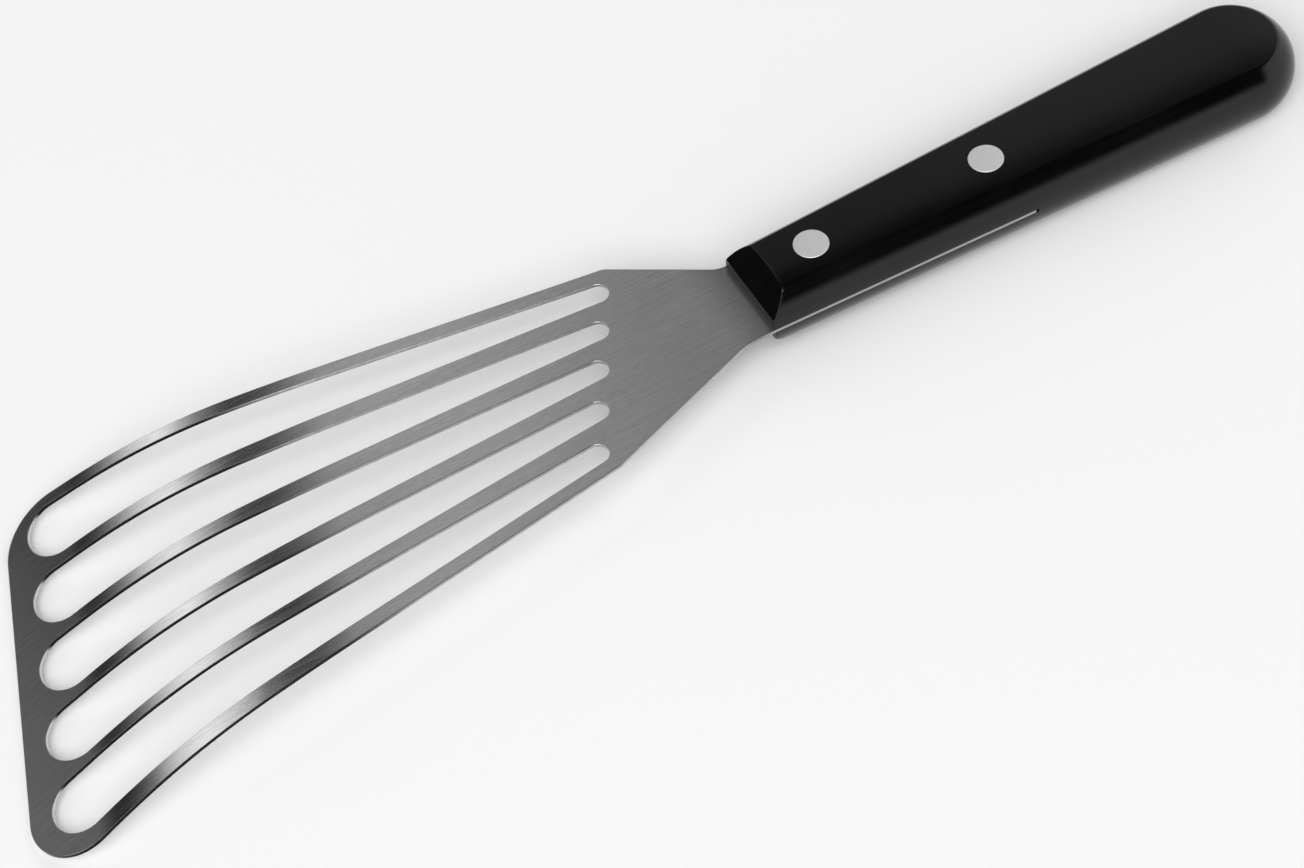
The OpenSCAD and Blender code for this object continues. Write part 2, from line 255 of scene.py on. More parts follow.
@dataclass(frozen=True)
class BrushedSteel(Finish):
    """Stainless sheet ground lengthwise with a fine belt.

    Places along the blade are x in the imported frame. Grain cells are long along x.
    """

    name: str = "brushed_steel"
    dark: Colour = (0.52, 0.52, 0.525, 1.0)
    light: Colour = (0.70, 0.70, 0.70, 1.0)
    hair_cell: Triple = (12.0, 0.13, 0.0)
    streak_cell: Triple = (24.0, 0.30, 0.0)
    scratch_cell: Triple = (2.2, 0.17, 0.0)
    band_cell: Triple = (60.0, 2.2, 0.0)
    handling_cell: Triple = (24.0, 15.0, 15.0)
    # shares of hairs, streaks and scratches in the tone and in the grooves
    tone_shares: Triple = (0.30, 0.30, 0.40)
    tone_limits: Pair = (0.3, 0.7)
    groove_shares: Triple = (0.35, 0.25, 0.40)
    groove_depth: float = 0.009
    # mean roughness, and how much of it streaks, bands and handling change
    roughness: float = 0.13
    roughness_swings: Triple = (0.07, 0.06, 0.06)
    # between these places next to the handle the sheet grows rougher, and its colour gets painted
    # shade standing in for the dark handle that the neck reflects
    near_handle_from: float = 13.0
    near_handle_to: float = 24.0
    dull_rise: float = 0.10
    shade_share: float = 0.66
    # colour of the painted shade next to the handle
    handle_shade: Colour = (0.13, 0.13, 0.132, 1.0)
    # sides cut along the sheet, whose colour gets painted shade standing in for the dark
    # surroundings they reflect: these parts of the normal along y and x tell them apart
    side_limits: Pair = (0.25, 0.50)
    ahead_limits: Pair = (0.20, 0.50)
    # colour of the painted shade on the cut sides
    cut: Colour = (0.014, 0.014, 0.015, 1.0)
    cut_roughness: float = 0.25
    # in the handle they were ground flush with it, from between these places
    flush_from: float = 19.5
    flush_to: float = 22.5
    flush: Colour = (0.40, 0.40, 0.40, 1.0)
    # their painted shade is full over the bend and lightens by this share along the flat run
    flat_from: float = -80.0
    flat_to: float = -58.0
    flat_share: float = 0.70

    def shader(self, graph: Graph) -> Socket:
        """Grain, uneven sheen, grooves along x, and painted shade next to the handle and on the
        cut sides.
        """
        hair = graph.noise(self.hair_cell, 1.0)
        streak = graph.noise(self.streak_cell)
        scratch = graph.noise(self.scratch_cell)
        band = graph.noise(self.band_cell, 1.0)
        handling = graph.noise(self.handling_cell)
        tone = blended((hair, streak, scratch), self.tone_shares).smooth(*self.tone_limits)
        colour = graph.mix(tone, self.dark, self.light)
        swings = [pattern - 0.5 for pattern in (streak, band, handling)]
        sheen = blended(swings, self.roughness_swings) + self.roughness
        places = graph.node("ShaderNodeTexCoord")
        forward = graph.parts(places.outputs["Object"])[0]
        ahead, aside, _ = graph.parts(places.outputs["Normal"])
        # painted shade: this mask darkens the colour next to the handle, standing in for the dark
        # handle that the neck reflects; it also raises the roughness there
        near_handle = forward.smooth(self.near_handle_from * MM, self.near_handle_to * MM)
        colour = graph.mix(near_handle * self.shade_share, colour, self.handle_shade)
        side = aside.size().smooth(*self.side_limits)
        flush = forward.smooth(self.flush_from * MM, self.flush_to * MM)
        flat_run = forward.smooth(self.flat_from * MM, self.flat_to * MM)
        # painted shade on the cut sides, standing in for the dark surroundings they reflect; the
        # same mask makes them rougher
        shaded_cut_side = side * (1.0 - flush) * (1.0 - ahead.smooth(*self.ahead_limits))
        shaded_cut_side = shaded_cut_side * (1.0 - flat_run * self.flat_share)
        colour = graph.mix(shaded_cut_side, colour, self.cut)
        colour = graph.mix(side * flush, colour, self.flush)
        grooves = blended((hair, streak, scratch), self.groove_shares)
        return graph.node("ShaderNodeBsdfPrincipled", {}, {
            "Base Color": colour,
            "Metallic": 1.0,
            "Roughness": sheen + near_handle * self.dull_rise + shaded_cut_side * self.cut_roughness,
            "Normal": graph.bump(grooves, self.groove_depth),
        }).outputs["BSDF"]


@dataclass(frozen=True)
class MouldedBlack(Finish):
    """Dense black plastic, tumbled smooth."""

    name: str = "moulded_black"
    dark: Colour = (0.0008, 0.0009, 0.0009, 1.0)
    light: Colour = (0.0020, 0.0021, 0.0021, 1.0)
    pore_cell: Triple = (0.35, 0.35, 0.35)
    polish_cell: Triple = (7.0, 0.5, 0.5)
    cloud_cell: Triple = (22.0, 10.0, 10.0)
    # shares of clouds and polishing marks in the tone, and of pores and marks in the relief
    tone_shares: Pair = (0.6, 0.4)
    tone_limits: Pair = (0.35, 0.65)
    relief_shares: Pair = (0.7, 0.3)
    relief_depth: float = 0.006
    roughness: float = 0.15
    # how much of the roughness clouds and polishing marks change
    roughness_swings: Pair = (0.08, 0.06)
    specular: float = 0.40

    def shader(self, graph: Graph) -> Socket:
        """Fine pores, faint polishing marks and slightly uneven sheen."""
        pores = graph.noise(self.pore_cell)
        polish = graph.noise(self.polish_cell)
        clouds = graph.noise(self.cloud_cell)
        tone = blended((clouds, polish), self.tone_shares).smooth(*self.tone_limits)
        sheen = blended((clouds - 0.5, polish - 0.5), self.roughness_swings)
        relief = blended((pores, polish), self.relief_shares)
        return graph.node("ShaderNodeBsdfPrincipled", {}, {
            "Base Color": graph.mix(tone, self.dark, self.light),
            "Roughness": sheen + self.roughness,
            "Specular IOR Level": self.specular,
            "Normal": graph.bump(relief, self.relief_depth),
        }).outputs["BSDF"]


@dataclass(frozen=True)
class SatinRivet(Finish):
    """Rivet metal ground flush with the cheek, then satin finished."""

    name: str = "satin_rivet_metal"
    dark: Colour = (0.82, 0.82, 0.81, 1.0)
    light: Colour = (0.93, 0.93, 0.92, 1.0)
    line_cell: Triple = (1.6, 0.10, 0.10)
    speck_cell: Triple = (0.25, 0.25, 0.25)
    # shares of lines and specks in the tone and in the relief
    tone_shares: Pair = (0.5, 0.5)
    tone_limits: Pair = (0.3, 0.7)
    relief_shares: Pair = (0.6, 0.4)
    relief_depth: float = 0.006
    metallic: float = 0.9
    roughness: float = 0.56
    roughness_swing: float = 0.12

    def shader(self, graph: Graph) -> Socket:
        """A soft metallic sheen with fine lines along the handle."""
        lines = graph.noise(self.line_cell)
        specks = graph.noise(self.speck_cell)
        tone = blended((lines, specks), self.tone_shares).smooth(*self.tone_limits)
        relief = blended((lines, specks), self.relief_shares)
        return graph.node("ShaderNodeBsdfPrincipled", {}, {
            "Base Color": graph.mix(tone, self.dark, self.light),
            "Metallic": self.metallic,
            "Roughness": (specks - 0.5) * self.roughness_swing + self.roughness,
            "Normal": graph.bump(relief, self.relief_depth),
        }).outputs["BSDF"]


@dataclass(frozen=True)
class PlainFloor(Finish):
    """Pale matt floor that reads as white where it isn't in shadow."""

    name: str = "plain_floor"
    bounce: Colour = (0.80, 0.80, 0.80, 1.0)
    seen: Colour = (1.0, 1.0, 1.0, 1.0)

    def shader(self, graph: Graph) -> Socket:
        """White to the eye and to reflections, pale where it only throws light back."""
        path = graph.node("ShaderNodeLightPath")
        camera, glossy, clear = (
            Signal(graph, path.outputs[kind])
            for kind in ("Is Camera Ray", "Is Glossy Ray", "Is Transmission Ray"))
        looked_at = camera + glossy + clear
        matt = graph.node("ShaderNodeBsdfDiffuse", {}, {
            "Color": graph.mix(looked_at, self.bounce, self.seen)})
        return matt.outputs["BSDF"]


def unit(vector: Array) -> Array:
    """The vector at length 1."""
    return vector / np.linalg.norm(vector)


def meet(start: Array, along: Array, other: Array, beside: Array) -> Array:
    """Where the line from start along one direction crosses another line."""
    steps = np.linalg.solve(np.column_stack([along, -beside]), other - start)
    return start + steps[0] * along


@dataclass(frozen=True)
class RestPose:
    """How the tool lies on the ground: a small turn about the slanted axis, then a shift."""

    slant: float = 20.0
    turn: float = 1.382994
    shift: Triple = (22.738517, 0.074405, 9.919632)

    def matrix(self) -> Matrix:
        """From the tool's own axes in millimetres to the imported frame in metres."""
        slant = math.radians(self.slant)
        axis = Vector((math.sin(slant), math.cos(slant), 0.0))
        turn = Matrix.Rotation(math.radians(self.turn), 4, axis)
        return Matrix.Scale(MM, 4) @ Matrix.Translation(self.shift) @ turn


@dataclass(frozen=True)
class Contour:
    """A closed line on the flat sheet, with the direction that points out of the metal."""

    points: Array
    outward: Array

    @staticmethod
    def rounded(corners: Sequence[Pair], radii: Sequence[float],
                step: float) -> "Contour":
        """A polygon with rounded corners.

        Args:
            corners: The corners, going clockwise round the metal.
            radii: Rounding of each corner, for hollow corners too.
            step: Largest turn between two points of an arc, in degrees.

        Returns:
            The line, dense on the arcs and open on the straights.
        """
        points: list[Array] = []
        outward: list[Array] = []
        nodes = [np.array(c, float) for c in corners]
        for k, radius in enumerate(radii):
            before, here, after = nodes[k - 1], nodes[k], nodes[(k + 1) % len(nodes)]
            back, onward = unit(before - here), unit(after - here)
            half = math.acos(float(np.clip(back @ onward, -1, 1))) / 2
            centre = here + unit(back + onward) * radius / math.sin(half)
            start = here + back * radius / math.tan(half) - centre
            sweep = math.pi - 2 * half
            turning = -back[0] * onward[1] + back[1] * onward[0]
            sign = 1.0 if turning > 0 else -1.0
            count = max(2, math.ceil(math.degrees(sweep) / step))
            for i in range(count + 1):
                a = sign * sweep * i / count
                ray = np.array([start[0] * math.cos(a) - start[1] * math.sin(a),
                                start[0] * math.sin(a) + start[1] * math.cos(a)])
                points.append(centre + ray)
                outward.append(-sign * unit(ray))
        return Contour(np.array(points), np.array(outward))

    @staticmethod
    def slot(root: Array, root_r: float, tip: Array, tip_r: float, step: float) -> "Contour":
        """A tapered slot with a round end at each point."""
        along = unit(tip - root)
        beside = np.array([-along[1], along[0]])
        taper = math.asin((tip_r - root_r) / float(np.linalg.norm(tip - root)))
        points: list[Array] = []
        outward: list[Array] = []
        quarter = math.pi / 2
        for centre, radius, first, sweep in (
            (tip, tip_r, quarter + taper, -(math.pi + 2 * taper)),
            (root, root_r, -quarter - taper, -(math.pi - 2 * taper)),
        ):
            count = math.ceil(math.degrees(abs(sweep)) / step)
            for i in range(count + 1):
                a = first + sweep * i / count
                ray = along * math.cos(a) + beside * math.sin(a)
                points.append(centre + radius * ray)
                outward.append(-ray)
        return Contour(np.array(points), np.array(outward))

    @staticmethod
    def hole(centre: Array, radius: float, count: int) -> "Contour":
        """A round hole."""
        turn = -2 * math.pi * np.arange(count) / count
        ray = np.column_stack([np.cos(turn), np.sin(turn)])
        return Contour(centre + radius * ray, -ray)

    def encloses(self, spots: Array) -> Array:
        """Which of the spots lie inside the line."""
        x, y = spots[:, :1], spots[:, 1:]
        x1, y1 = self.points.T
        x2, y2 = np.roll(self.points, -1, axis=0).T
        with np.errstate(divide="ignore", invalid="ignore"):
            crossing = ((y1 > y) != (y2 > y)) & (x < (x2 - x1) * (y - y1) / (y2 - y1) + x1)
        return crossing.sum(axis=1) % 2 == 1


@dataclass(frozen=True)
class SheetBend:
    """Three arcs that turn the sheet down, square to the slanted tip."""

    slant: float = 20.0
    start_x: float = 87.3
    stop_x: float = 142.6
    shares: Triple = (0.345, 0.425, 0.23)
    turns: Triple = (2.8, 13.2, 6.0)
    cuts: tuple[int, int, int] = (10, 26, 14)

    def stations(self) -> Array:
        """Where the arcs start and end, square to the bend axis."""
        places = self.start_x + (self.stop_x - self.start_x) * np.cumsum((0.0,) + self.shares)
        return places * math.cos(math.radians(self.slant))

    def slopes(self) -> Array:
        """Slope of the sheet at each station, in radians."""
        return np.radians(np.cumsum((0.0,) + self.turns))

    def cut_lines(self) -> Array:
        """Distances at which the flat mesh is cut so that it can bend."""
        stations = self.stations()
        parts = [np.linspace(a, b, n, endpoint=False)
                 for a, b, n in zip(stations[:-1], stations[1:], self.cuts)]
        return np.append(np.concatenate(parts), stations[-1])

    def bend(self, flat: Array, direction: Array) -> tuple[Array, Array]:
        """Bends points and directions.

        Args:
            flat: Points on the flat sheet, x, y and height above its middle.
            direction: One direction for each point.

        Returns:
            The bent points and directions in the tool's own axes.
        """
        s, c = math.sin(math.radians(self.slant)), math.cos(math.radians(self.slant))
        # x and y to u, square to the bend axis, and v, along it; the same turn leads back
        turn = np.array([[-c, s], [s, c]])
        u, v = turn @ flat[:, :2].T
        z = flat[:, 2]
        stations, slopes = self.stations(), self.slopes()
        radii = np.diff(stations) / np.diff(slopes)
        a = np.interp(u, stations, slopes)
        mid_u, mid_z = np.minimum(u, stations[0]), np.zeros_like(u)
        for k, radius in enumerate(radii):
            reached = np.clip(a, slopes[k], slopes[k + 1])
            mid_u += radius * (np.sin(reached) - math.sin(slopes[k]))
            mid_z -= radius * (math.cos(slopes[k]) - np.cos(reached))
        beyond = np.maximum(u - stations[-1], 0.0)
        mid_u += beyond * np.cos(a) + z * np.sin(a)
        mid_z += -beyond * np.sin(a) + z * np.cos(a)
        du, dv = turn @ direction[:, :2].T
        dz = direction[:, 2]
        bent_u = du * np.cos(a) + dz * np.sin(a)
        bent_z = -du * np.sin(a) + dz * np.cos(a)
        return (np.column_stack([(turn @ np.array([mid_u, v])).T, mid_z]),
                np.column_stack([(turn @ np.array([bent_u, dv])).T, bent_z]))


def to_mesh(made: Draft, name: str) -> bpy.types.Mesh:
    """Turns mesh data under work into a mesh, and frees it."""
    mesh = bpy.data.meshes.new(name)
    made.to_mesh(mesh)
    made.free()
    return mesh


def shade_smooth(mesh: bpy.types.Mesh) -> None:
    """Smooths the shading of every face."""
    mesh.polygons.foreach_set("use_smooth", [True] * len(mesh.polygons))


def cut_through(made: Draft, place: Sequence[float], normal: Sequence[float],
                clear: bool = False) -> list[bmesh.types.BMEdge]:
    """Cuts a mesh along a plane.

    Args:
        made: The mesh to cut.
        place: A point of the plane.
        normal: The plane's direction.
        clear: Whether what lies beyond the plane is taken away.

    Returns:
        The edges of the cut.
    """
    cut = bmesh.ops.bisect_plane(made, geom=made.verts[:] + made.edges[:] + made.faces[:],
                                 dist=ON_CUT, plane_co=place, plane_no=normal,
                                 clear_outer=clear)
    return [e for e in cut["geom_cut"] if isinstance(e, bmesh.types.BMEdge)]


def apply_modifiers(piece: Piece) -> None:
    """Turns what a piece's modifiers make into its own mesh."""
    before = piece.data
    settled = piece.evaluated_get(bpy.context.evaluated_depsgraph_get())
    after = bpy.data.meshes.new_from_object(settled)
    piece.modifiers.clear()
    piece.data = after
    bpy.data.meshes.remove(before)
    after.name = piece.name


def to_object(mesh: bpy.types.Mesh, name: str, material: bpy.types.Material) -> Piece:
    """Links a mesh as an object at the origin with its material."""
    made = bpy.data.objects.new(name, mesh)
    bpy.context.scene.collection.objects.link(made)
    mesh.materials.clear()
    mesh.materials.append(material)
    return made


@dataclass
class Blade:
    """The slotted sheet with its half tang, edges softly broken."""

    pose: RestPose
    finish: BrushedSteel
    bend: SheetBend = field(default_factory=SheetBend)
    thickness: float = 0.8
    length: float = 157.2
    edge_r: float = 0.14
    edge_steps: int = 3
    long_shoulder: Pair = (-39.6, -21.5)
    short_shoulder: Pair = (-20.0, 21.6)
    long_splay: float = 8.2
    short_splay: float = 8.7
    long_neck: float = 5.5
    short_neck: float = 1.6
    front_half_w: float = 9.45
    side_slope: float = 0.03
    tang_len: float = 56.5
    # from the tang's long side over the long shoulder, the tip and the short shoulder, and back
    corner_r: tuple[float, ...] = (0.3, 13.0, 3.5, 9.9, 13.1, 3.5, 5.0, 0.3)
    slot_count: int = 5
    # where the line of slot ends crosses the middle, its slant, and the radius of the ends
    slot_root: Triple = (33.0, 28.5, 2.2)
    slot_tip: Triple = (145.4, 20.0, 6.2)
    # two slanted lines that the slots cross evenly: place, spacing, shift to the short side
    root_gauge: Triple = (50.0, 9.4, 0.6)
    tip_gauge: Triple = (140.0, 14.4, 1.2)
    gauge_slant: float = 16.0
    rivet_hole_r: float = 2.45
    rivet_hole_points: int = 64
    slot_step: float = 3.0
    outline_step: float = 2.5

    def half_width(self, x: float) -> float:
        """Half the width of the tang and of the handle at x."""
        return self.front_half_w + x * self.side_slope

    def outline(self) -> Contour:
        """The edge of the flat sheet."""
        slant = math.radians(self.bend.slant)
        across = np.array([math.sin(slant), math.cos(slant)])
        tip = np.array([-self.length, 0.0])
        tips = []
        for shoulder, splay in ((self.long_shoulder, -self.long_splay),
                                (self.short_shoulder, self.short_splay)):
            a = math.radians(splay)
            side = np.array([-math.cos(a), math.sin(a)])
            tips.append(tuple(meet(np.array(shoulder), side, tip, across)))
        tang = self.half_width(self.tang_len)
        corners = [
            (self.tang_len, -tang),
            (-self.long_neck, -self.half_width(-self.long_neck)),
            self.long_shoulder,
            *tips,
            self.short_shoulder,
            (-self.short_neck, self.half_width(-self.short_neck)),
            (self.tang_len, tang),
        ]
        return Contour.rounded(corners, self.corner_r, self.outline_step)

    def slots(self) -> list[Contour]:
        """The slots, from the short side to the long side."""
        lean = math.tan(math.radians(self.gauge_slant))

        def gauge(line: Triple, k: int) -> Array:
            """Where slot k crosses one of the gauge lines."""
            place, spacing, shift = line
            y = shift + ((self.slot_count - 1) / 2 - k) * spacing
            return np.array([-place + y * lean, y])

        made = []
        for k in range(self.slot_count):
            near, far = gauge(self.root_gauge, k), gauge(self.tip_gauge, k)
            ends = []
            for x, slant, _ in (self.slot_root, self.slot_tip):
                a = math.radians(slant)
                ends.append(meet(near, far - near, np.array([-x, 0.0]),
                                 np.array([math.sin(a), math.cos(a)])))
            made.append(Contour.slot(ends[0], self.slot_root[2], ends[1], self.slot_tip[2],
                                     self.slot_step))
        return made

    def rim(self) -> list[Triple]:
        """Steps round the edge: how far in, height, and angle of the surface."""
        half = self.thickness / 2
        angles = [90.0 - 90.0 * i / self.edge_steps for i in range(self.edge_steps + 1)]
        steps = [(self.edge_r * (1 - math.cos(math.radians(a))),
                  half - self.edge_r * (1 - math.sin(math.radians(a))), a) for a in angles]
        return steps + [(inset, -height, -a) for inset, height, a in reversed(steps)]

    def flat_mesh(self) -> Draft:
        """The flat sheet with holes and broken edges, cut along the bend lines."""
        rivet_holes = [Contour.hole(np.array([x, 0.0]), self.rivet_hole_r, self.rivet_hole_points)
                       for x in RIVET_PLACES.values()]
        loops = [self.outline()] + self.slots() + rivet_holes
        rim = self.rim()
        made = bmesh.new()
        facing = made.verts.layers.float_vector.new("facing")
        tops: list[bmesh.types.BMVert] = []
        bottoms: list[bmesh.types.BMVert] = []
        edges: list[tuple[int, int]] = []
        flat_lines: list[Contour] = []
        for loop in loops:
            rings = []
            for inset, height, angle in rim:
                a = math.radians(angle)
                ring = []
                for point, out in zip(loop.points, loop.outward):
                    spot = point - out * inset
                    vert = made.verts.new((spot[0], spot[1], height))
                    vert[facing] = (out[0] * math.cos(a), out[1] * math.cos(a), math.sin(a))
                    ring.append(vert)
                rings.append(ring)
            count = len(loop.points)
            for upper, lower in zip(rings[:-1], rings[1:]):
                for i in range(count):
                    j = (i + 1) % count
                    made.faces.new((upper[i], upper[j], lower[j], lower[i]))
            first = len(tops)
            edges += [(first + i, first + (i + 1) % count) for i in range(count)]
            tops += rings[0]
            bottoms += rings[-1]
            flat_lines.append(Contour(loop.points - loop.outward * self.edge_r, loop.outward))
        # the flats reach to the inset lines, where the broken edges start
        flat = np.concatenate([line.points for line in flat_lines])
        # output kind 0 gives triangles over the whole hull, holes too
        triangles = delaunay_2d_cdt([Vector(p) for p in flat], edges, [], 0, SAME_POINT)[2]
        corners = np.array(triangles)
        middles = flat[corners].mean(axis=1)
        kept = flat_lines[0].encloses(middles)
        for line in flat_lines[1:]:
            kept &= ~line.encloses(middles)
        for a, b, c in corners[kept]:
            made.faces.new((tops[a], tops[b], tops[c]))
            made.faces.new((bottoms[c], bottoms[b], bottoms[a]))
        slant = math.radians(self.bend.slant)
        normal = (-math.cos(slant), math.sin(slant), 0.0)
        for u in self.bend.cut_lines():
            cut_through(made, (normal[0] * u, normal[1] * u, 0.0), normal)
        bmesh.ops.recalc_face_normals(made, faces=made.faces[:])
        return made

    def build(self) -> Piece:
        """Makes the bent blade.

        Returns:
            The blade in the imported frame, standing for the blade's solid.
        """
        flat = self.flat_mesh()
        layer = flat.verts.layers.float_vector["facing"]
        points = np.array([v.co[:] for v in flat.verts])
        facing = np.array([v[layer][:] for v in flat.verts])
        points, facing = self.bend.bend(points, facing)
        place = self.pose.matrix()
        turn = place.to_3x3().normalized()
        for vert, point in zip(flat.verts, points):
            vert.co = place @ Vector(point)
        normals = [(turn @ Vector(d)).normalized() for d in facing]
        flat.verts.layers.float_vector.remove(layer)
        mesh = to_mesh(flat, "blade_sheet")
        shade_smooth(mesh)
        mesh.normals_split_custom_set_from_vertices(normals)
        return self.dress(to_object(mesh, "blade_sheet", self.finish.material()))

    def dress(self, blade: Piece) -> Piece:
        """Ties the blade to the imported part."""
        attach(blade, "root")
        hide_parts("blade")
        return blade


@dataclass
class Handle:
    """The one-piece handle: flat cheeks, rounded sides and butt, sloped front."""

    pose: RestPose
    finish: MouldedBlack
    length: float = 120.0
    front_w: float = 18.9
    butt_w: float = 26.1
    thickness: float = 14.6
    # width of each rounded side; the part's own 4.9 leaves the shoulders about 0.4 mm too thin
    side_bulge: float = 3.75
    # half the stretch over which the crease between side and cheek is softened
    crease_soft: float = 0.35
    # how far the cheek rises from the crease to its middle
    crown: float = 0.26
    # points round the section: on the side, over the crease and on the cheek
    side_points: int = 16
    crease_points: int = 12
    cheek_points: int = 8
    # half the stretch with close points over the crease
    crease_reach: float = 1.0
    # points along each straight side of the plan, and round its butt
    straight_points: int = 40
    butt_points: int = 97
    # how far the uncut handle runs past its front
    overrun: float = 2.0
    chamfer_len: float = 4.1
    front_land: float = 2.6
    front_edge_r: float = 0.30
    front_support: float = 0.45
    # depth and height of the slit for the tang
    slit: Pair = (56.9, 0.9)
    # radius and depth of the seat of a rivet head, and radius of the bore between the seats
    rivet_seat: Pair = (3.52, 1.6)
    bore_r: float = 2.32
    bore_points: int = 96

    def section(self, middle: float) -> Array:
        """Upper half of the section, from the widest line to the middle of the cheek.

        Args:
            middle: How far in from the widest line the middle of the cheek lies.

        Returns:
            Points with the distance in and the height.
        """
        half = self.thickness / 2
        side_r = (half * half + self.side_bulge ** 2) / (2 * self.side_bulge)
        edge = half - self.crown
        start = side_r - math.sqrt(side_r ** 2 - edge ** 2)
        turn = math.asin(edge / side_r)
        side_count, cheek_count, count = 90, 60, 600
        # the line starts a little below the widest place, so that softening leaves it there
        below = 0.2
        a = np.linspace(-below, turn, side_count, endpoint=False)
        rounded = np.column_stack([side_r * (1 - np.cos(a)), side_r * np.sin(a)])
        share = np.linspace(0.0, 1.0, cheek_count)
        cheek = np.column_stack([start + share * (middle - start),
                                 half - self.crown * (1 - share) ** 2])
        line = np.concatenate([rounded, cheek])
        # even steps along the line, then a running mean that softens the crease
        run = np.concatenate([[0.0], np.cumsum(np.linalg.norm(np.diff(line, axis=0), axis=1))])
        fine = np.linspace(0.0, run[-1], count)
        even = np.column_stack([np.interp(fine, run, line[:, i]) for i in (0, 1)])
        width = max(1, int(self.crease_soft / (run[-1] / count)))
        soft = even.copy()
        for i in range(count):
            reach = min(width, i, count - 1 - i)
            soft[i] = even[i - reach:i + reach + 1].mean(axis=0)
        # close steps over the crease, wider ones on the round side and the cheek
        base = run[np.searchsorted(a, 0.0)]
        crease = run[len(rounded)]
        before, after = crease - self.crease_reach, crease + self.crease_reach
        picks = np.concatenate([
            np.linspace(base, before, self.side_points, endpoint=False),
            np.linspace(before, after, self.crease_points, endpoint=False),
            np.linspace(after, run[-1], self.cheek_points),
        ])
        made = np.column_stack([np.interp(picks, fine, soft[:, i]) for i in (0, 1)])
        made[0] = (0.0, 0.0)
        return made

    def side_angle(self) -> float:
        """How far each side leans from the axis, in radians."""
        return math.atan((self.butt_w - self.front_w) / 2 / self.length)

    def butt_radius(self) -> float:
        """Radius of the butt seen from above."""
        side = self.side_angle()
        return self.butt_w / 2 * math.cos(side) / (1 + math.sin(side))

    def plan(self) -> tuple[Array, Array]:
        """The widest line seen from above, and its outward direction."""
        side, butt_r = self.side_angle(), self.butt_radius()
        centre = self.length - butt_r
        straight = np.linspace(-self.overrun, centre - butt_r * math.sin(side),
                               self.straight_points, endpoint=False)
        points, outward = [], []
        for x in straight:
            points.append((x, -(self.front_w / 2 + x * math.tan(side))))
            outward.append((-math.sin(side), -math.cos(side)))
        for a in np.linspace(-math.pi / 2 - side, math.pi / 2 + side, self.butt_points):
            points.append((centre + butt_r * math.cos(a), butt_r * math.sin(a)))
            outward.append((math.cos(a), math.sin(a)))
        for x in straight[::-1]:
            points.append((x, self.front_w / 2 + x * math.tan(side)))
            outward.append((-math.sin(side), math.cos(side)))
        return np.array(points), np.array(outward)

    def blank(self) -> Draft:
        """The whole handle with a square front, running past where the front is cut."""
        made = bmesh.new()
        points, outward = self.plan()
        rings = []
        for point, out in zip(points, outward):
            middle = self.butt_radius()
            if abs(out[1]) * middle > abs(point[1]):
                middle = abs(point[1] / out[1])
            steps = self.section(middle)
            whole = [(d, -z) for d, z in reversed(steps[1:])] + [(d, z) for d, z in steps]
            rings.append([made.verts.new((*(point - out * d), z)) for d, z in whole])
        for ring, following in zip(rings[:-1], rings[1:]):
            for i in range(len(ring) - 1):
                made.faces.new((ring[i], following[i], following[i + 1], ring[i + 1]))
        bmesh.ops.remove_doubles(made, verts=made.verts[:], dist=WELD)
        bmesh.ops.dissolve_degenerate(made, dist=ON_CUT, edges=made.edges[:])
        rim = [e for e in made.edges if e.is_boundary]
        bmesh.ops.edgeloop_fill(made, edges=rim)
        bmesh.ops.recalc_face_normals(made, faces=made.faces[:])
        return made

    def cut_front(self, made: Draft) -> None:
        """Cuts the upright land and both slopes, and breaks their edges."""
        half = self.thickness / 2
        rise = half - self.front_land
        slope = math.hypot(rise, self.chamfer_len)
        planes = [
            ((0.0, 0.0, 0.0), (-1.0, 0.0, 0.0)),
            ((0.0, 0.0, self.front_land), (-rise / slope, 0.0, self.chamfer_len / slope)),
            ((0.0, 0.0, -self.front_land), (-rise / slope, 0.0, -self.chamfer_len / slope)),
        ]
        for place, normal in planes:
            bmesh.ops.edgeloop_fill(made, edges=cut_through(made, place, normal, clear=True))
        bmesh.ops.dissolve_degenerate(made, dist=WELD, edges=made.edges[:])
        bmesh.ops.recalc_face_normals(made, faces=made.faces[:])
        same_way, same_plane = 1e-4, 1e-3
        fronts = [f for f in made.faces
                  if any(abs(f.normal.dot(Vector(n)) - 1) < same_way and
                         abs((f.calc_center_median() - Vector(p)).dot(Vector(n))) < same_plane
                         for p, n in planes)]
        rims = {e for f in fronts for e in f.edges}
        bmesh.ops.bevel(made, geom=list(rims), offset=self.front_edge_r, segments=3,
                        profile=0.5, affect="EDGES", clamp_overlap=True)
        # a line close behind each front face keeps its shading from running along the sides
        for place, normal in planes:
            cut_through(made, Vector(place) - Vector(normal) * self.front_support, normal)

    def cutter(self) -> Piece:
        """The slit for the tang and the stepped rivet holes, as one shape to cut away."""
        made = bmesh.new()
        depth, height = self.slit
        # the cutter stands this far out of the front and of the cheeks
        proud_front, proud_cheek = 3.0, 1.0
        corners = [made.verts.new((x, y, z)) for x in (-proud_front, depth)
                   for y in (-self.butt_w, self.butt_w) for z in (-height / 2, height / 2)]
        for ids in ((0, 1, 3, 2), (4, 6, 7, 5), (0, 4, 5, 1),
                    (2, 3, 7, 6), (0, 2, 6, 4), (1, 5, 7, 3)):
            made.faces.new([corners[i] for i in ids])
        seat_r, seat_depth = self.rivet_seat
        top = self.thickness / 2 + proud_cheek
        seat = self.thickness / 2 - seat_depth
        profile = [(seat_r, top), (seat_r, seat), (self.bore_r, seat),
                   (self.bore_r, -seat), (seat_r, -seat), (seat_r, -top)]
        for x in RIVET_PLACES.values():
            turned(made, profile, self.bore_points, x)
        bmesh.ops.recalc_face_normals(made, faces=made.faces[:])
        return to_object(to_mesh(made, "handle_cutter"), "handle_cutter", self.finish.material())

